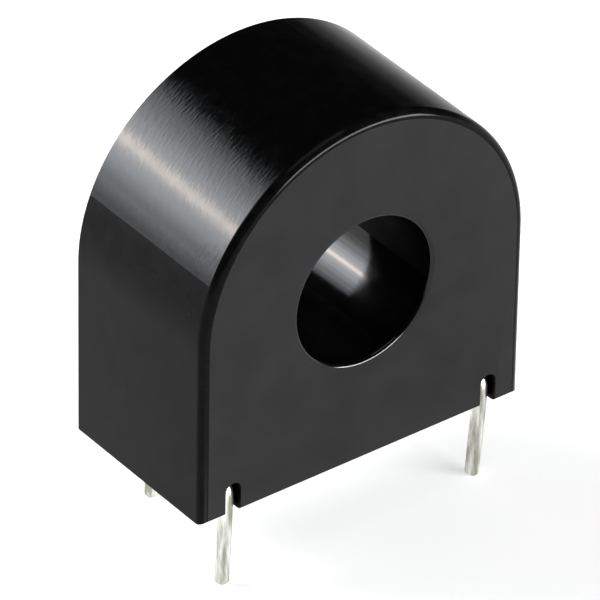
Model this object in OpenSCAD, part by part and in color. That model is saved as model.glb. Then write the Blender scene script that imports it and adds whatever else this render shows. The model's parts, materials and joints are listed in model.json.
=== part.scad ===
// Board-mounted window current transformer: a D-shaped moulded cup with a
// through bore, a toroidal coil potted in it, and four tinned wire pins.
// Millimetres. +X to the right, +Y along the bore to the back, +Z up.
// The origin is the centre of the base, in the plane of the circuit board.

/* [Core] */
// Width of the core's ring, from its hole to its outside
core_w = 2.25; // [1.5:0.05:4]
// Length of the core along the bore
core_len = 7.5; // [5:0.1:12]
// Grooves between the strip's turns, on each end of the core
core_grooves = 5; // [2:1:7]
// Width of one groove
groove_w = 0.1; // [0.05:0.01:0.12]
// Depth of one groove
groove_depth = 0.15; // [0.05:0.05:0.3]
// Play round the core in its box
core_play = 0.1; // [0.05:0.05:0.2]
// Thickness of the cushion between the core and the lid
cushion_t = 0.4; // [0.2:0.05:0.6]
// Wall of the box that the core lies in
box_wall = 0.45; // [0.3:0.05:0.6]
// Height of the step that centres the lid in the box
lid_step = 0.4; // [0.2:0.05:0.6]

/* [Coil] */
// Build of the winding on the outside and on both ends
winding_t = 0.45; // [0.35:0.05:0.6]
// Build of the winding inside the ring, where the turns crowd
winding_inner_t = 0.7; // [0.5:0.05:0.9]
// Bundles of turns round the ring
bundles = 30; // [20:2:40]
// Depth of the valley between two bundles
valley_t = 0.2; // [0.1:0.05:0.25]
// Share of the pitch that the valley takes
valley_share = 0.3; // [0.2:0.05:0.5]
// Rounding of the winding's corners
coil_corner_r = 0.4; // [0.25:0.05:0.45]
// Thickness of the tape wrapped over the winding
tape_t = 0.125; // [0.05:0.025:0.2]

/* [Bore] */
// Diameter of the through bore
bore_d = 10.7; // [6:0.1:16]
// Wall of the tube round the bore
tube_wall = 1.0; // [0.7:0.05:1.4]
// Radius of the bore's front rim
rim_r = 0.3; // [0.1:0.05:0.5]

/* [Case] */
// Thickness of the front wall
front_wall = 1.5; // [1.4:0.05:2]
// Thickness of the arch and the two sides
side_wall = 1.2; // [0.9:0.05:1.5]
// Thickness of the base
base_wall = 1.0; // [0.8:0.05:1.2]
// Radius of the front face's outer edge
edge_r = 0.6; // [0.2:0.05:0.9]

/* [Resin] */
// Resin between the coil and the walls
coil_gap = 0.35; // [0.2:0.05:0.6]
// Resin between the coil and the base
coil_lift = 0.75; // [0.3:0.05:2]
// Resin over the back of the coil
resin_cover = 1.0; // [0.5:0.1:1.5]
// Depth of the resin's surface below the back rim
resin_recess = 0.3; // [0.1:0.05:0.6]

/* [Pins] */
// Diameter of the tinned pin wire
pin_d = 1.0; // [0.8:0.05:1.1]
// Length of a pin below the board plane
pin_len = 5.9; // [3:0.1:8]
// From the board plane down to a pin's straight end, past its slight bend
kink_drop = 0.15; // [0.1:0.05:0.5]
// Centre-line radius of a pin's bend
bend_r = 0.8; // [0.65:0.05:1]
// Rounding of a pin's tip
tip_r = 0.3; // [0.1:0.05:0.35]
// From a side face to the axis of the front pin next to it
front_pin_edge = 2.6; // [2.5:0.05:3.4]
// From the front face back to the front pins' axes
front_pin_inset = 0.85; // [0.7:0.05:0.85]
// Length of a front pin's leg inside the resin, from its axis
front_leg = 6.0; // [4.5:0.1:7]
// From a side face to the axis of the rear pin next to it
rear_pin_edge = 4.5; // [4.3:0.05:6]
// From the back rim forward to the rear pins' axes
rear_pin_inset = 2.2; // [1.8:0.05:3]
// Length of a rear pin's leg inside the resin, from its axis
rear_leg = 3.0; // [2:0.1:3.5]
// Clearance on each side of a pin in its notch
notch_play = 0.125; // [0.05:0.025:0.2]
// Angle by which the right front pin is bent inwards
right_lean = 4.4; // [0.6:0.1:6]
// Angle by which the left front pin is bent outwards
left_lean = 2.2; // [0.6:0.1:6]
// Angle by which the rear pins are bent to the left
rear_lean = 1.6; // [0.6:0.1:6]

/* [Joints of the winding] */
// Diameter of the winding's lead wire
lead_d = 0.4; // [0.25:0.05:0.5]
// Thickness of the solder round a pin's leg
solder_t = 0.25; // [0.15:0.05:0.35]
// Clearance under the solder, over the base
solder_play = 0.05; // [0.05:0.05:0.2]
// Length of the solder along a pin's leg
solder_len = 1.8; // [1.2:0.1:2.4]
// Bare leg beyond the solder
leg_end = 0.5; // [0.2:0.1:1]

/* [Hidden] */
$fn = 96;
over = 1; // how far a cut runs past a face

// Radii, from the bore out through the coil to the case
bore_r = bore_d / 2;
tube_r = bore_r + tube_wall;
coil_in_r = tube_r + coil_gap;
wind_in_r = coil_in_r + tape_t;
box_in_r = wind_in_r + winding_inner_t;
core_in_r = box_in_r + box_wall + core_play;
core_r = core_in_r + core_w;
box_r = core_r + core_play + box_wall;
wind_r = box_r + winding_t;
coil_r = wind_r + tape_t;
cavity_r = coil_r + coil_gap;
case_w = 2 * (cavity_r + side_wall);
axis_h = base_wall + coil_lift + coil_r;

// Depths along the bore, counted from the front face and then set about the middle
box_depth = front_wall + coil_gap + tape_t + winding_t;
box_len = box_wall + core_len + cushion_t + lid_step + box_wall;
case_d = box_depth + box_len + winding_t + tape_t + resin_cover + resin_recess;
front_y = -case_d / 2;
back_y = case_d / 2;
cavity_y = front_y + front_wall;
resin_y = back_y - resin_recess;
coil_y = cavity_y + coil_gap;
coil_end_y = resin_y - resin_cover;
wind_y = coil_y + tape_t;
wind_end_y = coil_end_y - tape_t;
box_y = wind_y + winding_t;
box_end_y = box_y + box_len;
core_y = box_y + box_wall;
core_end_y = core_y + core_len;
step_y = core_end_y + cushion_t;
lid_y = step_y + lid_step;
bundle_pitch = 360 / bundles;
valley_angle = bundle_pitch * valley_share;

// The pins
pin_r = pin_d / 2;
notch_r = pin_r + notch_play;
leg_z = base_wall + solder_play + solder_t + pin_r;
front_pin_x = case_w / 2 - front_pin_edge;
front_pin_y = front_y + front_pin_inset;
rear_pin_x = case_w / 2 - rear_pin_edge;
rear_pin_y = back_y - rear_pin_inset;

// The leads run straight from the winding to the front pins' legs
lead_y = front_pin_y + front_leg - leg_end - solder_len / 2;
lead_run = norm([front_pin_x, axis_h - leg_z]);
lead_turn = atan2(front_pin_x, leg_z - axis_h);

// Places children on the bore's axis, drawn with their height along +Y
module around_bore() {
    translate([0, 0, axis_h])
        rotate([-90, 0, 0])
            children();
}

// A full turn of a section drawn as [radius, y]
module ring() {
    around_bore()
        rotate_extrude()
            children();
}

// A rectangle between two radii and two depths, with its corners rounded
module section(r0, r1, y0, y1, corner = 0) {
    difference() {
        translate([r0, y0])
            square([r1 - r0, y1 - y0]);
        if (corner > 0)
            for (side = [[r0, 1], [r1, -1]], end = [[y0, 1], [y1, -1]])
                translate([side[0], end[0]])
                    scale([side[1], end[1]])
                        corner_cut(corner);
    }
}

// What a round of radius r takes off a corner that points to the origin
module corner_cut(r) {
    difference() {
        translate([-over, -over])
            square(r + over);
        translate([r, r])
            circle(r);
    }
}

// A half round over a straight-sided block, open to any depth
module d_block(r, floor_z, y0, y1) {
    around_bore()
        rotate([0, 0, 180])
            rotate_extrude(angle = 180)
                translate([0, y0])
                    square([r, y1 - y0]);
    translate([-r, y0, floor_z])
        cube([2 * r, y1 - y0, axis_h - floor_z]);
}

// Half of the case's plan, from its middle to one side, with a round front edge
module case_half_plan() {
    difference() {
        translate([0, front_y])
            square([case_w / 2, case_d]);
        translate([case_w / 2, front_y])
            scale([-1, 1])
                corner_cut(edge_r);
    }
}

module case_outside() {
    around_bore()
        rotate([0, 0, 180])
            rotate_extrude(angle = 180)
                case_half_plan();
    linear_extrude(height = axis_h)
        union() {
            case_half_plan();
            mirror([1, 0])
                case_half_plan();
        }
}

// The space round the bore's tube, from the front wall to a given depth
module cavity(end_y) {
    difference() {
        d_block(cavity_r, base_wall, cavity_y, end_y);
        ring()
            section(0, tube_r, front_y, end_y + over);
    }
}

module bore_cut() {
    ring()
        union() {
            section(0, bore_r, front_y - over, back_y + over);
            translate([bore_r, front_y])
                difference() {
                    translate([-over / 2, -over])
                        square([over / 2 + rim_r, over + rim_r]);
                    translate([rim_r, rim_r])
                        circle(rim_r);
                }
        }
}

// A notch with a round top through the front wall, open at the base
module front_notch(x) {
    translate([x - notch_r, front_y - over, -over])
        cube([2 * notch_r, front_wall + over, leg_z + over]);
    translate([x, front_y - over, leg_z])
        rotate([-90, 0, 0])
            cylinder(r = notch_r, h = front_wall + over);
}

// A slot with a round end in the base, open at the back
module rear_slot(x) {
    translate([x, rear_pin_y, -over])
        cylinder(r = notch_r, h = leg_z + over);
    translate([x - notch_r, rear_pin_y, -over])
        cube([2 * notch_r, rear_pin_inset + over, leg_z + over]);
}

module case() {
    color("#202020")
        difference() {
            case_outside();
            cavity(back_y + over);
            bore_cut();
            for (side = [-1, 1]) {
                front_notch(side * front_pin_x);
                rear_slot(side * rear_pin_x);
            }
        }
}

// The resin fills what the coil, the joints and the pins leave free
module potting() {
    color("#2b2b2d")
        difference() {
            cavity(resin_y);
            ring()
                section(coil_in_r, coil_r, coil_y, coil_end_y, coil_corner_r + tape_t);
            for (side = [-1, 1]) {
                lead_way(side);
                solder_bead(side);
                front_leg_rod(side);
                translate([side * rear_pin_x, rear_pin_y, 0])
                    mirror([0, 1, 0])
                        bent_wire(rear_leg);
            }
        }
}

// A strip of magnetic alloy wound into a ring, its turns marked on both ends
module core() {
    turn_pitch = (core_r - core_in_r) / (core_grooves + 1);
    color("#8f9296")
        ring()
            difference() {
                section(core_in_r, core_r, core_y, core_end_y);
                for (i = [1:core_grooves], end_y = [core_y, core_end_y])
                    translate([core_in_r + i * turn_pitch - groove_w / 2, end_y - groove_depth])
                        square([groove_w, 2 * groove_depth]);
            }
}

module core_cushion() {
    color("#d8d5cc")
        ring()
            section(core_in_r, core_r, core_end_y, step_y);
}

module core_box_base() {
    color("#e8e6df")
        ring()
            difference() {
                section(box_in_r, box_r, box_y, lid_y);
                section(box_in_r + box_wall, box_r - box_wall, core_y, lid_y + over);
            }
}

module core_box_lid() {
    color("#e8e6df")
        ring()
            union() {
                section(box_in_r, box_r, lid_y, box_end_y);
                section(core_in_r, core_r, step_y, lid_y);
            }
}

// What is cut from the winding between two bundles, down to the depth of a valley
module valley_section() {
    difference() {
        section(wind_in_r - over, wind_r + over, wind_y - over, wind_end_y + over);
        section(wind_in_r + valley_t, wind_r - valley_t, wind_y + valley_t, wind_end_y - valley_t);
    }
}

// The turns lie in bundles round the core box, and a bundle's middle meets each lead
module winding() {
    color("#b3602b")
        difference() {
            ring()
                difference() {
                    section(wind_in_r, wind_r, wind_y, wind_end_y, coil_corner_r);
                    section(box_in_r, box_r, box_y, box_end_y);
                }
            around_bore()
                for (i = [0:bundles - 1])
                    rotate([0, 0, lead_turn - 90 + (i + 0.5) * bundle_pitch - valley_angle / 2])
                        rotate_extrude(angle = valley_angle)
                            valley_section();
        }
}

module winding_tape() {
    color("#c9a227")
        difference() {
            ring()
                difference() {
                    section(coil_in_r, coil_r, coil_y, coil_end_y, coil_corner_r + tape_t);
                    section(wind_in_r, wind_r, wind_y, wind_end_y, coil_corner_r);
                }
            for (side = [-1, 1])
                lead_way(side);
        }
}

// A pin's wire: up through the base with its axis on Z, then back along +Y
module bent_wire(leg) {
    up_z = leg_z - bend_r;
    translate([0, bend_r, leg_z])
        rotate([-90, 0, 0])
            cylinder(r = pin_r, h = leg - bend_r);
    translate([0, bend_r, up_z])
        rotate([90, 0, 0])
            rotate([0, -90, 0])
                rotate_extrude(angle = 90)
                    translate([bend_r, 0])
                        circle(pin_r);
    cylinder(r = pin_r, h = up_z);
}

// The whole pin, with its end bent a little towards -X below the base
module pin(leg, lean) {
    kink_r = kink_drop / sin(lean);
    bent_wire(leg);
    translate([-kink_r, 0, 0])
        rotate([-90, 0, 0])
            rotate_extrude(angle = lean)
                translate([kink_r, 0])
                    circle(pin_r);
    translate([-kink_r, 0, 0])
        rotate([0, lean, 0])
            translate([kink_r, 0, 0])
                pin_end(pin_len - kink_drop);
}

// The straight end of a pin, hanging down from the origin, with a round tip
module pin_end(length) {
    rotate_extrude()
        difference() {
            translate([0, -length])
                square([pin_r, length]);
            translate([pin_r, -length])
                scale([-1, 1])
                    corner_cut(tip_r);
        }
}

// The leg of a front pin inside the resin, without the part in the notch
module front_leg_rod(side) {
    translate([side * front_pin_x, front_pin_y, 0])
        bent_wire(front_leg);
}

// The straight way of a lead, from inside the winding to the axis of a pin's leg
module lead_way(side) {
    translate([0, lead_y, axis_h])
        rotate([0, side * lead_turn, 0])
            translate([0, 0, wind_r - winding_t])
                cylinder(d = lead_d, h = lead_run - wind_r + winding_t);
}

// A lead starts on the winding's outside and ends at the side of the leg
module lead_wire(side) {
    difference() {
        lead_way(side);
        ring()
            section(0, wind_r, front_y, back_y);
        front_leg_rod(side);
    }
}

// A round-ended bead of solder on the leg, over the lead's end
module solder_bead(side) {
    bead_r = pin_r + solder_t;
    translate([side * front_pin_x, lead_y, leg_z])
        rotate([-90, 0, 0])
            rotate_extrude()
                difference() {
                    section(0, bead_r, -solder_len / 2, solder_len / 2);
                    for (end = [-1, 1])
                        translate([bead_r, end * solder_len / 2])
                            scale([-1, -end])
                                corner_cut(solder_t);
                }
}

module lead_left() {
    color("#b3602b")
        lead_wire(-1);
}

module lead_right() {
    color("#b3602b")
        lead_wire(1);
}

module solder_joint(side) {
    color("#c4c7c9")
        difference() {
            solder_bead(side);
            front_leg_rod(side);
            lead_way(side);
        }
}

module solder_left() {
    solder_joint(-1);
}

module solder_right() {
    solder_joint(1);
}

module pin_left() {
    color("#d9d9d4")
        translate([-front_pin_x, front_pin_y, 0])
            pin(front_leg, left_lean);
}

module pin_right() {
    color("#d9d9d4")
        translate([front_pin_x, front_pin_y, 0])
            pin(front_leg, right_lean);
}

module rear_pin(side) {
    color("#d9d9d4")
        translate([side * rear_pin_x, rear_pin_y, 0])
            mirror([0, 1, 0])
                pin(rear_leg, rear_lean);
}

module pin_rear_left() {
    rear_pin(-1);
}

module pin_rear_right() {
    rear_pin(1);
}

case();
potting();
core();
core_cushion();
core_box_base();
core_box_lid();
winding();
winding_tape();
lead_left();
lead_right();
solder_left();
solder_right();
pin_left();
pin_right();
pin_rear_left();
pin_rear_right();
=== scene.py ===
import json
from math import atan2, cos, degrees, pi, radians, sin, tan, tau

import bmesh
import bpy
from mathutils import Matrix, Vector


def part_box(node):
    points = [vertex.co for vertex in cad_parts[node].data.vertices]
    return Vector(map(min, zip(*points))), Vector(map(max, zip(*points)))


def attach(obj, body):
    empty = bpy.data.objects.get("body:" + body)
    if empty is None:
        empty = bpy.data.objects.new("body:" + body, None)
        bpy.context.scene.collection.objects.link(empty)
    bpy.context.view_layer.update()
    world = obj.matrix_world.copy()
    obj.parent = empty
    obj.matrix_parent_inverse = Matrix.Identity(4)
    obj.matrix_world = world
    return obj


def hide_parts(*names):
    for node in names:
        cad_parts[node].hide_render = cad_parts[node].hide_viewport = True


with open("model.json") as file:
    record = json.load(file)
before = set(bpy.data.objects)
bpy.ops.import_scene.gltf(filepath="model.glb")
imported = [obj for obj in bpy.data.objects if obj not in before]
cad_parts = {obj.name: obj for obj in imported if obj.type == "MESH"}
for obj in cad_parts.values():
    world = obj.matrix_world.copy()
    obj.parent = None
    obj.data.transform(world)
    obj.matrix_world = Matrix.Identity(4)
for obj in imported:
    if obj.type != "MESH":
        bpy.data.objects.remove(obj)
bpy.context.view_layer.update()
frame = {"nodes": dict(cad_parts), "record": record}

# The looks of a window current transformer for circuit boards: a black moulded
# case, its resin filling at the back, and four tinned wire pins.
# Shapes are made in millimetres and scaled to metres when they are placed.
# The case's finishes differ from one zone to the next, and reflect less than real moulding
# plastic does, so that the pale floor doesn't grey the black. On the arch and the flat sides
# the zones are partly painted light: painted sheen where the highlight falls, painted shade
# on the right shoulder and the sides.

MM = 0.001

# Sizes in mm that the frame's boxes don't give
EDGE_R = 0.6          # round of the case's front outer edge
RIM_R = 0.3           # round of the bore's front rim
TUBE_WALL = 1.0       # wall of the tube round the bore
NOTCH_PLAY = 0.125    # clearance beside a pin in its notch
PLUG_SET = 0.15       # from a front pin's axis back to the resin in its notch
FOOT_EDGE = 0.5       # share of EDGE_R on the front face's lower edge
WIRE_TURNS = 420      # visible turns of fine wire round the winding
TAPE_LAPS = 26        # laps of tape round the coil
STRIP_T = 0.05        # one layer of the core's strip
# Each step of the resin's rise at a wall: its width, and its height over the surface
RESIN_CREEP = [
    (0.0, 0.24), (0.05, 0.15), (0.07, 0.09), (0.1, 0.05), (0.15, 0.03), (0.3, 0.015),
]
SKIN_T = 0.2          # thickness of the resin's surface piece
PLUG_OVERLAP = 0.05   # from the resin's front into the plug
PLUG_LIFT = 0.02      # from the case's base up to a plug's foot
PLUG_ROUND = 0.12     # round of a plug's edges towards its pin
SLIVER = 0.001        # overlap that keeps two cuts from sharing a face
OVER = 1.0            # how far a cutter stands out of what it cuts
NEAR = 1e-5           # two coordinates closer than this are the same

# Borders of the case's finishes. The arch's angles run up from its left foot and
# over to the right, the bore's run up from its right side, all in degrees.
# The arch's zones are painted sheen on its glossy part and painted shade on its right shoulder.
PAINTED_SHEEN_SPAN = (22, 103)    # the arch's glossy part
SHOULDER_FOOT = 170   # lower end of the arch's right shoulder
# The bore's bright strip is a painted highlight: a zone of stronger sheen where the highlight
# falls.
BORE_HIGHLIGHT_SPAN = (-70, -12)   # the bore's bright strip

# How far in mm a face's middle may lie from a surface and still count as part of it
FRONT_PLAY = 0.01
BORE_PLAY = 0.02
RIM_PLAY = 0.05
OUTSIDE_PLAY = 0.1

ARCH_STEPS = 180      # facets round a full circle
FILLET_STEPS = 8
SLOT_STEPS = 48       # facets round a slot's full circle
PLUG_STEPS = 3


# ---------------------------------------------------------------- measures

def node_box(name):
    """Lowest and highest corner of a CAD node in mm."""
    low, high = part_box(name)
    return low / MM, high / MM


case_low, case_high = node_box("case")
resin_low, resin_high = node_box("potting")
mounts = {m["name"]: m for m in frame["record"]["mounts"]}
bore = mounts["primary_bore"]
bore_r = bore["dims"]["r_mm"]
axis_z = bore["pos_m"][2] / MM
front_y, back_y = case_low.y, case_high.y
arch_r = case_high.x
cavity_r = resin_high.x
floor_z = min(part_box(name)[0].z for name in frame["nodes"])
wire_r = mounts["pin_left_end"]["dims"]["r_mm"]
notch_w = 2 * (wire_r + NOTCH_PLAY)
FRONT_PINS = ("pin_left", "pin_right")
REAR_PINS = ("pin_rear_left", "pin_rear_right")


# ------------------------------------------------------------- mesh helpers

def new_object(name, bm):
    """A mesh object from a bmesh in mm, not yet scaled."""
    mesh = bpy.data.meshes.new(name)
    bm.to_mesh(mesh)
    bm.free()
    piece = bpy.data.objects.new(name, mesh)
    bpy.context.scene.collection.objects.link(piece)
    return piece


def d_outline(bm, radius, base_z, y):
    """The outline of a half round over a straight-sided block, as one face."""
    ring = bmesh.ops.create_circle(bm, segments=ARCH_STEPS, radius=radius)["verts"]
    bmesh.ops.rotate(bm, verts=ring, matrix=Matrix.Rotation(pi / 2, 3, "X"))
    low = [v for v in ring if v.co.z < -NEAR]
    bmesh.ops.delete(bm, geom=low, context="VERTS")
    arch = [v for v in bm.verts if v.is_valid]
    bmesh.ops.translate(bm, verts=arch, vec=(0, y, axis_z))
    ends = [v for v in arch if abs(v.co.z - axis_z) < 10 * NEAR]
    edges = [e for v in ends for e in v.link_edges]
    feet = bmesh.ops.extrude_vert_indiv(bm, verts=ends)["verts"]
    for foot in feet:
        foot.co.z = base_z
    bm.edges.new(feet)
    return bmesh.ops.contextual_create(bm, geom=bm.edges[:])["faces"][0]


def d_block(radius, base_z, y0, y1):
    """A closed D-shaped block between two depths."""
    bm = bmesh.new()
    face = d_outline(bm, radius, base_z, y0)
    made = bmesh.ops.extrude_face_region(bm, geom=[face])["geom"]
    moved = [g for g in made if isinstance(g, bmesh.types.BMVert)]
    bmesh.ops.translate(bm, verts=moved, vec=(0, y1 - y0, 0))
    bmesh.ops.recalc_face_normals(bm, faces=bm.faces[:])
    return bm


def turned(points):
    """A closed solid turned round the bore's axis from points (radius, y)."""
    bm = bmesh.new()
    verts = [bm.verts.new((r, y, 0)) for r, y in points]
    edges = [bm.edges.new((a, b)) for a, b in zip(verts, verts[1:])]
    bmesh.ops.spin(
        bm, geom=verts + edges, cent=(0, 0, 0), axis=(0, 1, 0), dvec=(0, 0, 0),
        angle=tau, steps=ARCH_STEPS, use_merge=True,
    )
    bmesh.ops.remove_doubles(bm, verts=bm.verts[:], dist=NEAR)
    bmesh.ops.translate(bm, verts=bm.verts[:], vec=(0, 0, axis_z))
    bmesh.ops.recalc_face_normals(bm, faces=bm.faces[:])
    return bm


def quarter(center, radius, start, end, steps):
    """Points (radius, y) on an arc of a section."""
    return [
        (center[0] + radius * cos(start + (end - start) * i / steps),
         center[1] + radius * sin(start + (end - start) * i / steps))
        for i in range(steps + 1)
    ]


def cut(piece, *cutters):
    """Takes the cutters from the piece, one after the other."""
    for cutter in cutters:
        step = piece.modifiers.new("cut", "BOOLEAN")
        step.operation = "DIFFERENCE"
        step.solver = "EXACT"
        step.object = cutter
    settle(piece)
    for cutter in cutters:
        bpy.data.objects.remove(cutter)


def settle(piece):
    """Applies the piece's modifiers to its mesh."""
    bpy.context.view_layer.update()
    shape = piece.evaluated_get(bpy.context.evaluated_depsgraph_get())
    mesh = bpy.data.meshes.new_from_object(shape)
    piece.modifiers.clear()
    piece.data = mesh


def place(piece, slot, *nodes, smooth=35):
    """Scales a piece to metres and hands it to the frame. Edges sharper than
    smooth degrees stay sharp."""
    piece.data.transform(Matrix.Scale(MM, 4))
    for face in piece.data.polygons:
        face.use_smooth = True
    piece.data.set_sharp_from_angle(angle=radians(smooth))
    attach(piece, "root")
    if nodes:
        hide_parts(*nodes)
    return piece


# -------------------------------------------------------------------- case

def round_slot(x, y0, y1, z0, z1, width, up):
    """A slot's shape: round at its top when up is true, else round at its inner side y0."""
    r = width / 2
    bm = bmesh.new()
    ring = bmesh.ops.create_circle(bm, segments=SLOT_STEPS, radius=r)["verts"]
    bmesh.ops.delete(bm, geom=[v for v in ring if v.co.y < -NEAR], context="VERTS")
    ends = [v for v in bm.verts if abs(v.co.y) < NEAR]
    feet = bmesh.ops.extrude_vert_indiv(bm, verts=ends)["verts"]
    reach = (z1 - r - z0) if up else (y1 - y0)
    bmesh.ops.translate(bm, verts=feet, vec=(0, -reach, 0))
    bm.edges.new(feet)
    face = bmesh.ops.contextual_create(bm, geom=bm.edges[:])["faces"][0]
    made = bmesh.ops.extrude_face_region(bm, geom=[face])["geom"]
    moved = [g for g in made if isinstance(g, bmesh.types.BMVert)]
    bmesh.ops.translate(bm, verts=moved, vec=(0, 0, (y1 - y0) if up else (z1 - z0)))
    if up:
        bmesh.ops.rotate(bm, verts=bm.verts[:], matrix=Matrix.Rotation(pi / 2, 3, "X"))
        bmesh.ops.translate(bm, verts=bm.verts[:], vec=(x, y1, z1 - r))
    else:
        bmesh.ops.rotate(bm, verts=bm.verts[:], matrix=Matrix.Rotation(pi, 3, "Z"))
        bmesh.ops.translate(bm, verts=bm.verts[:], vec=(x, y0, z0))
    bmesh.ops.recalc_face_normals(bm, faces=bm.faces[:])
    return bm


def wire_x(pin):
    """Where a pin's wire stands in the base: below it every pin is bent to the left."""
    return node_box(pin)[1].x - wire_r


def round_front(bm):
    """Rounds the front face's outline, less along its foot."""
    weight = bm.edges.layers.float.new("bevel_weight_edge")
    for edge in bm.edges:
        if all(abs(v.co.y - front_y) < NEAR for v in edge.verts):
            at_foot = all(abs(v.co.z - case_low.z) < NEAR for v in edge.verts)
            edge[weight] = FOOT_EDGE if at_foot else 1.0
    block = new_object("moulded_case", bm)
    fillet = block.modifiers.new("fillet", "BEVEL")
    fillet.limit_method = "WEIGHT"
    fillet.width = EDGE_R
    fillet.segments = FILLET_STEPS
    settle(block)
    return block


def tube_block(y1):
    """The tube round the bore as a full cylinder, from before the front face to y1."""
    tube_r = bore_r + TUBE_WALL
    y0 = front_y - OVER
    return new_object("tube", turned([(0, y0), (tube_r, y0), (tube_r, y1), (0, y1)]))


def make_case():
    """The case: a rounded block less its hollow, bore, notches and slots."""
    case = round_front(d_block(arch_r, case_low.z, front_y, back_y))
    hollow = new_object("hollow", d_block(cavity_r, resin_low.z, resin_low.y, back_y + OVER))
    cut(hollow, tube_block(back_y + 2 * OVER))
    rim = quarter((bore_r + RIM_R, front_y + RIM_R), RIM_R, -pi / 2, -pi, FILLET_STEPS)
    bore_tool = new_object("bore", turned(
        [(0, front_y - OVER), (bore_r + RIM_R, front_y - OVER)] + rim
        + [(bore_r, back_y + OVER), (0, back_y + OVER)]
    ))
    tools = [hollow, bore_tool]
    below = case_low.z - OVER
    for pin in FRONT_PINS:
        high = node_box(pin)[1]
        tools.append(new_object("notch", round_slot(
            wire_x(pin), front_y - OVER, resin_low.y + SLIVER,
            below, high.z + NOTCH_PLAY, notch_w, True,
        )))
    for pin in REAR_PINS:
        high = node_box(pin)[1]
        tools.append(new_object("slot", round_slot(
            wire_x(pin), high.y - wire_r, back_y + OVER,
            below, high.z - wire_r, notch_w, False,
        )))
    cut(case, *tools)
    return case


def make_resin_surface():
    """The resin's surface at the back, drawn up along the walls and the tube."""
    block = d_block(cavity_r, resin_low.z, resin_high.y - SKIN_T, resin_high.y)
    skin = new_object("resin_surface", block)
    cut(skin, tube_block(back_y + OVER))
    bm = bmesh.new()
    bm.from_mesh(skin.data)
    top = [f for f in bm.faces if f.normal.y > 0.99]
    rim = list({v for f in top for v in f.verts})
    bmesh.ops.translate(bm, verts=rim, vec=(0, RESIN_CREEP[0][1], 0))
    for (width, height), (_, before) in zip(RESIN_CREEP[1:], RESIN_CREEP):
        bmesh.ops.inset_region(
            bm, faces=top, thickness=width, depth=height - before, use_even_offset=True,
        )
    bm.to_mesh(skin.data)
    bm.free()
    return skin


def make_plug(pin):
    """The resin that has crept round a front pin and closes the notch behind it."""
    high = node_box(pin)[1]
    behind = node_box("pin_left")[0].y + wire_r + PLUG_SET
    plug = round_slot(
        wire_x(pin), behind, resin_low.y + PLUG_OVERLAP,
        case_low.z + PLUG_LIFT, high.z + NOTCH_PLAY, notch_w, True,
    )
    facing = [e for e in plug.edges if all(abs(v.co.y - behind) < NEAR for v in e.verts)]
    bmesh.ops.bevel(
        plug, geom=facing, offset=PLUG_ROUND, segments=PLUG_STEPS, profile=0.5,
        affect="EDGES", material=-1,
    )
    return new_object("resin_plug" + pin[3:], plug)


case = make_case()
place(case, "moulded_plastic", "case")
plugs = [place(make_plug(pin), "resin", smooth=50) for pin in FRONT_PINS]
resin_surface = make_resin_surface()
place(resin_surface, "resin", smooth=50)


# --------------------------------------------------------------- materials

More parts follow.
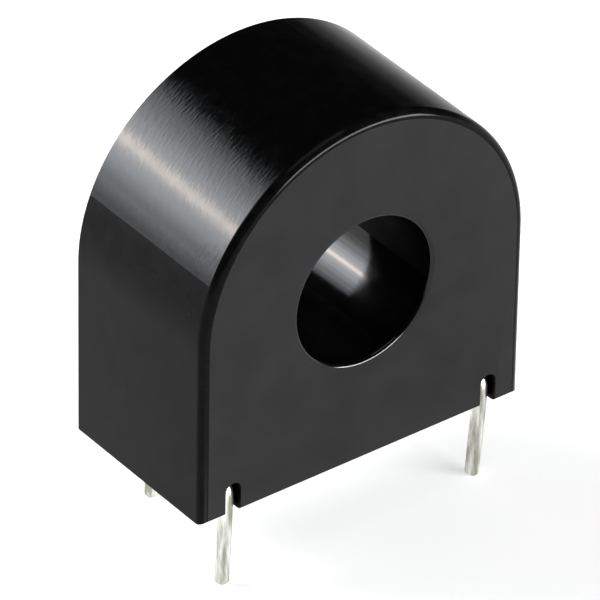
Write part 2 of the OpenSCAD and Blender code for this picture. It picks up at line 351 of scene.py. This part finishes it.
class Finish:
    """A material with its shader, and the node chains that the finishes share."""

    def __init__(self, name, colour, roughness, ior=1.45, metallic=0.0):
        self.material = bpy.data.materials.new(name)
        self.material.use_nodes = True
        self.nodes = self.material.node_tree.nodes
        self.links = self.material.node_tree.links
        self.shader = self.nodes["Principled BSDF"]
        self.set("Base Color", (*colour, 1))
        self.set("Roughness", roughness)
        self.set("IOR", ior)
        self.set("Metallic", metallic)
        self.place = self.nodes.new("ShaderNodeTexCoord").outputs["Object"]
        self.height = None

    def set(self, socket, value):
        self.shader.inputs[socket].default_value = value

    def node(self, kind, **inputs):
        made = self.nodes.new("ShaderNode" + kind)
        for socket, value in inputs.items():
            made.inputs[socket.replace("_", " ")].default_value = value
        return made

    def grain(self, size, stretch=(1, 1, 1), detail=3.0):
        """Noise whose spots measure about size mm, drawn out where stretch is above 1."""
        mapping = self.node("Mapping", Scale=[1 / (size * MM * k) for k in stretch])
        noise = self.node("TexNoise", Scale=1.0, Detail=detail)
        self.links.new(self.place, mapping.inputs["Vector"])
        self.links.new(mapping.outputs["Vector"], noise.inputs["Vector"])
        return noise.outputs["Fac"]

    def between(self, source, low, high, start=0.3, end=0.7):
        """Spreads a value from start to end over low to high."""
        spread = self.node("MapRange", From_Min=start, From_Max=end, To_Min=low, To_Max=high)
        self.links.new(source, spread.inputs["Value"])
        return spread.outputs["Result"]

    def round_bore(self):
        """The place turned so that its Z runs along the bore, from the bore's axis."""
        centred = self.node("Mapping", Location=(0, 0, -axis_z * MM))
        self.links.new(self.place, centred.inputs["Vector"])
        turned = self.node("Mapping", Rotation=(pi / 2, 0, 0))
        self.links.new(centred.outputs["Vector"], turned.inputs["Vector"])
        return turned.outputs["Vector"]

    def turns(self, count):
        """Ridges that run along the bore, count of them round it."""
        angle = self.node("TexGradient")
        angle.gradient_type = "RADIAL"
        self.links.new(self.round_bore(), angle.inputs["Vector"])
        share = self.nodes.new("ShaderNodeMath")
        share.operation = "PINGPONG"
        share.inputs[1].default_value = 0.5 / count
        self.links.new(angle.outputs["Fac"], share.inputs[0])
        return self.between(share.outputs["Value"], 0, 1, 0, 0.5 / count)

    def layers(self, pitch):
        """Rings round the bore, pitch mm apart."""
        flat = self.node("Mapping", Scale=(1, 1, 0))
        self.links.new(self.round_bore(), flat.inputs["Vector"])
        length = self.nodes.new("ShaderNodeVectorMath")
        length.operation = "LENGTH"
        self.links.new(flat.outputs["Vector"], length.inputs[0])
        share = self.nodes.new("ShaderNodeMath")
        share.operation = "PINGPONG"
        share.inputs[1].default_value = pitch * MM / 2
        self.links.new(length.outputs["Value"], share.inputs[0])
        return self.between(share.outputs["Value"], 0, 1, 0, pitch * MM / 2)

    def pit(self, spacing, size, depth):
        """Small round pits, size and depth in mm."""
        scaled = self.node("Mapping", Scale=[1 / (spacing * MM)] * 3)
        cells = self.node("TexVoronoi", Scale=1.0)
        self.links.new(self.place, scaled.inputs["Vector"])
        self.links.new(scaled.outputs["Vector"], cells.inputs["Vector"])
        self.emboss(self.between(cells.outputs["Distance"], 0, 1, 0, size / spacing), depth)

    def roughen(self, source, low, high):
        self.links.new(self.between(source, low, high), self.shader.inputs["Roughness"])

    def tint(self, source, dark, light, start=0.3, end=0.7):
        """Colour variation between two shades."""
        mix = self.nodes.new("ShaderNodeMix")
        mix.data_type = "RGBA"
        mix.inputs["A"].default_value = (*dark, 1)
        mix.inputs["B"].default_value = (*light, 1)
        self.links.new(self.between(source, 0, 1, start, end), mix.inputs["Factor"])
        self.links.new(mix.outputs["Result"], self.shader.inputs["Base Color"])

    def emboss(self, source, depth, strength=1.0):
        """Adds a relief of depth mm; reliefs stack."""
        bump = self.node("Bump", Strength=strength, Distance=depth * MM)
        self.links.new(source, bump.inputs["Height"])
        if self.height:
            self.links.new(self.height, bump.inputs["Normal"])
        self.height = bump.outputs["Normal"]
        self.links.new(self.height, self.shader.inputs["Normal"])


def arch_gloss_and_painted_sheen():
    """The arch's glossy part, with fine marks that run round it. The gloss is real;
    its strength, above that of the shoulder and the sides, is painted sheen.
    """
    # Painted sheen: a higher IOR than on the shoulder and sides, where the highlight falls.
    finish = Finish("arch_gloss_and_painted_sheen", (0.001, 0.001, 0.001), 0.1, ior=1.32)
    finish.roughen(finish.grain(0.9), 0.08, 0.15)
    finish.emboss(finish.grain(0.17, (4, 1, 4), 4.0), 0.009)
    finish.emboss(finish.grain(1.6), 0.006)
    finish.tint(finish.grain(1.2), (0.0006, 0.0006, 0.0006), (0.0018, 0.0017, 0.0016))
    return finish.material


def flat_side():
    """The flat sides, with a weaker and softer sheen than the arch. The weaker sheen
    is painted shade, which keeps the sides dark.
    """
    # Painted shade: a low IOR keeps the flat sides from mirroring the pale floor.
    finish = Finish("flat_side", (0.003, 0.003, 0.003), 0.2, ior=1.155)
    finish.roughen(finish.grain(2.2), 0.16, 0.26)
    finish.emboss(finish.grain(0.12, (1, 1, 8)), 0.0012)
    finish.emboss(finish.grain(1.6), 0.006)
    finish.tint(finish.grain(1.2), (0.002, 0.002, 0.002), (0.006, 0.0055, 0.0048))
    return finish.material


def shoulder():
    """The arch's right shoulder, with the weakest sheen: painted shade, which keeps
    that side of the arch dark.
    """
    # Painted shade: the lowest IOR of the case, on one side of the arch only.
    finish = Finish("shoulder", (0.003, 0.003, 0.003), 0.2, ior=1.08)
    finish.roughen(finish.grain(2.2), 0.14, 0.22)
    finish.emboss(finish.grain(0.12, (4, 1, 4)), 0.0015)
    finish.tint(finish.grain(1.2), (0.002, 0.002, 0.002), (0.005, 0.0048, 0.0045))
    return finish.material


def spark_eroded_front():
    """The front face, with the fine matt grain of a spark eroded mould."""
    finish = Finish("spark_eroded_front", (0.006, 0.006, 0.006), 0.32, ior=1.26)
    finish.roughen(finish.grain(1.8), 0.28, 0.37)
    finish.emboss(finish.grain(0.09, detail=2.0), 0.004)
    finish.tint(finish.grain(3.0), (0.0060, 0.0060, 0.0058), (0.0085, 0.0085, 0.0085))
    return finish.material


def edge_painted_shade():
    """The rounded front edge, darker and glossier than the faces beside it. The darkness
    is painted shade: the edge reflects far less than the faces, so it stays black where
    it mirrors the pale floor.
    """
    # Painted shade: a dark colour and a low IOR keep the front edge black.
    finish = Finish("edge_painted_shade", (0.002, 0.002, 0.002), 0.10, ior=1.15)
    finish.roughen(finish.grain(0.8), 0.08, 0.15)
    finish.tint(finish.grain(0.9), (0.001, 0.001, 0.001), (0.004, 0.0035, 0.0035))
    return finish.material


def bore_rim_and_painted_highlight():
    """The bore's bright strip and its rim, smooth and glossy. On the strip the sheen
    is a painted highlight, set strong only where the highlight falls; the rim's gloss is real.
    """
    # Painted highlight on the bore's strip: a higher IOR than on the rest of the bore.
    finish = Finish("bore_rim_and_painted_highlight", (0.0015, 0.0015, 0.0015), 0.1, ior=1.36)
    finish.roughen(finish.grain(1.2), 0.07, 0.12)
    finish.emboss(finish.grain(0.9), 0.001)
    return finish.material


def bore_painted_shade():
    """The rest of the bore, dark and dull: painted shade, which keeps it from showing
    reflections.
    """
    # Painted shade: a darker colour, a low IOR and more roughness than on the bright strip.
    finish = Finish("bore_painted_shade", (0.0008, 0.0008, 0.0008), 0.35, ior=1.15)
    finish.roughen(finish.grain(1.0), 0.26, 0.42)
    finish.emboss(finish.grain(0.12), 0.002)
    finish.tint(finish.grain(1.4), (0.0004, 0.0004, 0.0006), (0.0010, 0.0010, 0.0010))
    return finish.material


def plain_mould():
    """The unpolished back rim, base and inner walls."""
    finish = Finish("plain_mould", (0.006, 0.006, 0.006), 0.35)
    finish.roughen(finish.grain(1.5), 0.28, 0.42)
    finish.emboss(finish.grain(0.12), 0.003)
    finish.tint(finish.grain(2.0), (0.004, 0.004, 0.004), (0.009, 0.009, 0.009))
    return finish.material


def cast_resin():
    """Black casting resin: glossy, slightly wavy, with a few pinholes."""
    finish = Finish("cast_resin", (0.006, 0.006, 0.0065), 0.12)
    finish.roughen(finish.grain(3.0), 0.08, 0.22)
    finish.emboss(finish.grain(4.0, detail=1.0), 0.05)
    finish.emboss(finish.grain(0.35), 0.002)
    finish.pit(1.6, 0.09, 0.06)
    finish.tint(finish.grain(2.0), (0.004, 0.004, 0.0045), (0.009, 0.009, 0.0095))
    return finish.material


def tinned_wire():
    """Dull tin, drawn along the wire, with dark streaks between bright ones. The streaks
    are partly the tin's uneven tone and partly painted reflection: their strong contrast
    stands in for the pale and dark surroundings that the wire mirrors.
    """
    finish = Finish("tinned_wire", (0.55, 0.55, 0.50), 0.3, metallic=1.0)
    finish.roughen(finish.grain(0.35, (1, 1, 4)), 0.22, 0.42)
    finish.emboss(finish.grain(0.18, (1, 1, 5)), 0.006)
    finish.emboss(finish.grain(0.5), 0.012)
    # Painted reflection and uneven tin tone: dark greenish and bright streaks across the wire.
    finish.tint(finish.grain(0.42, (1, 1, 7)), (0.30, 0.30, 0.245), (0.80, 0.79, 0.75), 0.38, 0.62)
    return finish.material


def solder():
    """Bright solder with a slightly frosted skin."""
    finish = Finish("solder", (0.70, 0.71, 0.72), 0.2, metallic=1.0)
    finish.roughen(finish.grain(0.4), 0.14, 0.34)
    finish.emboss(finish.grain(0.6), 0.02)
    finish.tint(finish.grain(0.3), (0.60, 0.61, 0.61), (0.74, 0.75, 0.76))
    return finish.material


def enamelled_turns():
    """Fine enamelled copper wire laid side by side round the ring."""
    finish = Finish("enamelled_turns", (0.52, 0.20, 0.07), 0.28, metallic=0.8)
    finish.emboss(finish.turns(WIRE_TURNS), 0.05)
    finish.roughen(finish.grain(0.6), 0.2, 0.36)
    finish.tint(finish.grain(1.5), (0.42, 0.14, 0.045), (0.60, 0.26, 0.10))
    return finish.material


def enamelled_wire():
    """A lead of enamelled copper wire."""
    finish = Finish("enamelled_wire", (0.52, 0.20, 0.07), 0.28, metallic=0.8)
    finish.roughen(finish.grain(0.3), 0.2, 0.38)
    finish.emboss(finish.grain(0.25), 0.004)
    finish.tint(finish.grain(0.5), (0.42, 0.14, 0.045), (0.60, 0.26, 0.10))
    return finish.material


def coil_tape():
    """Thin yellow polyester tape wrapped round the coil in overlapping laps."""
    finish = Finish("coil_tape", (0.70, 0.48, 0.06), 0.18)
    finish.emboss(finish.turns(TAPE_LAPS), 0.04)
    finish.emboss(finish.grain(0.9), 0.02)
    finish.roughen(finish.grain(1.2), 0.1, 0.26)
    finish.tint(finish.grain(2.0), (0.60, 0.38, 0.04), (0.76, 0.56, 0.09))
    return finish.material


def magnetic_strip():
    """Thin bright alloy strip wound tight, its edges showing as fine rings."""
    finish = Finish("magnetic_strip", (0.40, 0.41, 0.43), 0.3, metallic=1.0)
    finish.emboss(finish.layers(STRIP_T), 0.01)
    finish.roughen(finish.grain(0.8), 0.22, 0.4)
    finish.tint(finish.grain(1.5), (0.32, 0.33, 0.35), (0.46, 0.47, 0.49))
    return finish.material


def core_box_plastic():
    """Pale matt moulding with a fine eroded texture."""
    finish = Finish("core_box_plastic", (0.78, 0.76, 0.70), 0.45)
    finish.roughen(finish.grain(1.5), 0.38, 0.55)
    finish.emboss(finish.grain(0.1), 0.004)
    finish.tint(finish.grain(3.0), (0.72, 0.70, 0.64), (0.81, 0.79, 0.74))
    return finish.material


def silicone():
    """Milky soft silicone."""
    finish = Finish("silicone", (0.75, 0.74, 0.70), 0.5, ior=1.41)
    finish.roughen(finish.grain(1.0), 0.42, 0.6)
    finish.emboss(finish.grain(0.4), 0.01)
    finish.tint(finish.grain(1.2), (0.70, 0.69, 0.64), (0.80, 0.79, 0.76))
    return finish.material


def face_kind(face):
    """Which of the case's finishes a face of it takes, by where the face lies."""
    middle = face.center / MM
    out = Vector((middle.x, 0, middle.z - axis_z)).length
    if face.normal.y < -0.999 and middle.y < front_y + FRONT_PLAY:
        return FRONT
    if out < bore_r + RIM_R + RIM_PLAY and middle.y < front_y + RIM_R:
        return BORE
    # Painted highlight on the bore's bright strip, painted shade on the rest of the bore
    if out < bore_r + BORE_PLAY:
        turn = degrees(atan2(middle.z - axis_z, middle.x))
        return BORE if BORE_HIGHLIGHT_SPAN[0] < turn < BORE_HIGHLIGHT_SPAN[1] else BORE_SHADE
    if middle.y < front_y + EDGE_R:
        return EDGE
    if out <= arch_r - OUTSIDE_PLAY:
        return PLAIN
    turn = degrees(atan2(middle.z - axis_z, -middle.x))
    # Painted sheen on the arch's glossy part, painted shade on its right shoulder and the flat
    # sides
    if PAINTED_SHEEN_SPAN[0] < turn < PAINTED_SHEEN_SPAN[1]:
        return ARCH
    return SHOULDER if PAINTED_SHEEN_SPAN[1] < turn < SHOULDER_FOOT else SIDE


ARCH, SHOULDER, SIDE, FRONT, EDGE, BORE, BORE_SHADE, PLAIN = range(8)
for finish in (
    arch_gloss_and_painted_sheen, shoulder, flat_side, spark_eroded_front, edge_painted_shade, bore_rim_and_painted_highlight,
    bore_painted_shade, plain_mould,
):
    case.data.materials.append(finish())
for face in case.data.polygons:
    face.material_index = face_kind(face)

resin_finish = cast_resin()
for piece in (resin_surface, *plugs):
    piece.data.materials.append(resin_finish)
slot_finish = {
    "moulded_plastic": plain_mould(), "resin": resin_finish, "tinned_wire": tinned_wire(),
    "solder": solder(), "enamelled_copper": enamelled_wire(), "magnetic_strip": magnetic_strip(),
    "core_box_plastic": core_box_plastic(), "coil_tape": coil_tape(), "silicone": silicone(),
}
slot_of = {part["node"]: part["material_slot"] for part in frame["record"]["subparts"]}
for name, node in frame["nodes"].items():
    finish = enamelled_turns() if name == "winding" else slot_finish[slot_of[name]]
    node.data.materials.clear()
    node.data.materials.append(finish)


# ------------------------------------------------------ floor, light, camera

PAINT = 0.7           # the floor's and the backdrop's colour
FLOOR_LIFT = 0.55     # what camera, gloss and clear pieces see on top of the lit paint
FLOOR_SIZE = 3.0      # from the middle of the floor to its edge, in metres
WALL_SHARE = 0.95     # the backdrop's radius as a share of that
WALL_ANGLE = 6        # the backdrop's height seen from the middle, in degrees
WALL_STEPS = 64
WORLD_STRENGTH = 0.02
BOX_DISTANCE = 0.6    # from the object to a softbox, in metres
GLOW_DISTANCE = 0.66  # to the first of the nested softboxes
GLOW_STEP = 0.012     # from one nested softbox forward to the next

# The camera: a long lens, to the left of the object and above it, lengths in mm
AZIMUTH, ELEVATION, ROLL = radians(37.513), radians(34.129), radians(1.024)
CAMERA_DISTANCE = 510.5
CAMERA_TARGET = Vector((0, -0.015, 13.12))
AIM_LEFT, AIM_DOWN = 0.153, 3.562   # from the target to the point that it aims at
LENS, SENSOR = 473.2, 36


def pale_paint():
    """Pale paint that reads near white to the camera and in the gloss, and keeps a shadow."""
    material = bpy.data.materials.new("pale_paint")
    material.use_nodes = True
    nodes, links = material.node_tree.nodes, material.node_tree.links
    nodes.clear()
    paint = nodes.new("ShaderNodeBsdfDiffuse")
    paint.inputs["Color"].default_value = (PAINT, PAINT, PAINT, 1)
    path = nodes.new("ShaderNodeLightPath")
    seen = path.outputs["Is Camera Ray"]
    for kind in ("Is Glossy Ray", "Is Transmission Ray"):
        either = nodes.new("ShaderNodeMath")
        either.operation = "MAXIMUM"
        links.new(seen, either.inputs[0])
        links.new(path.outputs[kind], either.inputs[1])
        seen = either.outputs[0]
    lift = nodes.new("ShaderNodeMath")
    lift.operation = "MULTIPLY"
    lift.inputs[1].default_value = FLOOR_LIFT
    links.new(seen, lift.inputs[0])
    glow = nodes.new("ShaderNodeEmission")
    links.new(lift.outputs[0], glow.inputs["Strength"])
    both = nodes.new("ShaderNodeAddShader")
    links.new(paint.outputs[0], both.inputs[0])
    links.new(glow.outputs[0], both.inputs[1])
    out = nodes.new("ShaderNodeOutputMaterial")
    links.new(both.outputs[0], out.inputs["Surface"])
    return material


def make_studio():
    """A pale floor with a low pale wall round it."""
    floor = bmesh.new()
    bmesh.ops.create_grid(floor, x_segments=1, y_segments=1, size=FLOOR_SIZE)
    wall = bmesh.new()
    ring = bmesh.ops.create_circle(
        wall, segments=WALL_STEPS, radius=FLOOR_SIZE * WALL_SHARE,
    )["verts"]
    edges = list({e for v in ring for e in v.link_edges})
    made = bmesh.ops.extrude_edge_only(wall, edges=edges)["geom"]
    top = [g for g in made if isinstance(g, bmesh.types.BMVert)]
    height = FLOOR_SIZE * tan(radians(WALL_ANGLE))
    bmesh.ops.translate(wall, verts=top, vec=(0, 0, height))
    paint = pale_paint()
    for name, bm in (("floor", floor), ("backdrop", wall)):
        bmesh.ops.translate(bm, verts=bm.verts[:], vec=(0, 0, floor_z))
        piece = new_object(name, bm)
        piece.data.materials.append(paint)


def softbox(name, azimuth, elevation, width, height, radiance, colour, distance=BOX_DISTANCE):
    """A softbox that faces the object, its width and height given as angles.
    Azimuth 0 is in front, 90 to the right. All angles are in degrees."""
    a, e = radians(azimuth), radians(elevation)
    to_light = Vector((sin(a) * cos(e), -cos(a) * cos(e), sin(e)))
    lamp = bpy.data.lights.new(name, "AREA")
    lamp.shape = "RECTANGLE"
    lamp.size = 2 * distance * tan(radians(width) / 2)
    lamp.size_y = 2 * distance * tan(radians(height) / 2)
    lamp.energy = radiance * pi * lamp.size * lamp.size_y
    lamp.color = colour
    piece = bpy.data.objects.new(name, lamp)
    piece.location = Vector((0, 0, axis_z * MM)) + to_light * distance
    piece.rotation_euler = to_light.to_track_quat("Z", "Y").to_euler()
    bpy.context.scene.collection.objects.link(piece)


make_studio()

COOL, WARM, WHITE = (0.90, 0.94, 1.0), (1.0, 0.86, 0.72), (1.0, 1.0, 1.0)
# Nested softboxes behind on the left make one large one that is brighter towards
# its middle: azimuth, elevation, width, height, radiance, colour
GLOW = [
    (215, 22.0, 50, 50, 1.7, COOL),
    (216, 23.5, 46, 45, 1.6, COOL),
    (217, 24.2, 40, 38.5, 2.5, COOL),
    (219, 25.0, 34, 28, 3.0, COOL),
    (221, 25.0, 30, 20, 3.5, COOL),
    (222.5, 25.0, 26, 11, 3.0, WARM),
    (223.3, 25.3, 24, 4, 14.0, WARM),
]
for step, box in enumerate(GLOW):
    softbox(f"back_left_{step}", *box, GLOW_DISTANCE - GLOW_STEP * step)
# Draws the highlight on the front's edge. It lights the front to about twice the
# level at which a colour renders as written.
softbox("front_right", 28, 7, 46, 15, 34.0, WHITE)
softbox("overhead", 0, 88, 36, 36, 1.5, WHITE)

world = bpy.data.worlds.new("studio")
bpy.context.scene.world = world
world.use_nodes = True
surroundings = world.node_tree.nodes["Background"]
surroundings.inputs["Color"].default_value = (1, 1, 1, 1)
surroundings.inputs["Strength"].default_value = WORLD_STRENGTH
bpy.context.scene.view_settings.view_transform = "Standard"


def camera_axes(back):
    """The camera's right and up, rolled, from the direction behind it."""
    right = Vector((0, 0, 1)).cross(back).normalized()
    up = back.cross(right)
    return right * cos(ROLL) + up * sin(ROLL), up * cos(ROLL) - right * sin(ROLL)


def make_camera():
    """The camera, which aims a little beside its target."""
    back = Vector((-sin(AZIMUTH) * cos(ELEVATION), -cos(AZIMUTH) * cos(ELEVATION), sin(ELEVATION)))
    place_mm = CAMERA_TARGET + back * CAMERA_DISTANCE
    right, up = camera_axes(back)
    aim = CAMERA_TARGET - right * AIM_LEFT - up * AIM_DOWN
    back = (place_mm - aim).normalized()
    right, up = camera_axes(back)
    lens = bpy.data.cameras.new("camera")
    lens.lens = LENS
    lens.sensor_width = SENSOR
    lens.clip_start = 0.01
    camera = bpy.data.objects.new("camera", lens)
    turn = Matrix((right, up, back)).transposed().to_4x4()
    camera.matrix_world = Matrix.Translation(place_mm * MM) @ turn
    bpy.context.scene.collection.objects.link(camera)
    bpy.context.scene.camera = camera


make_camera()
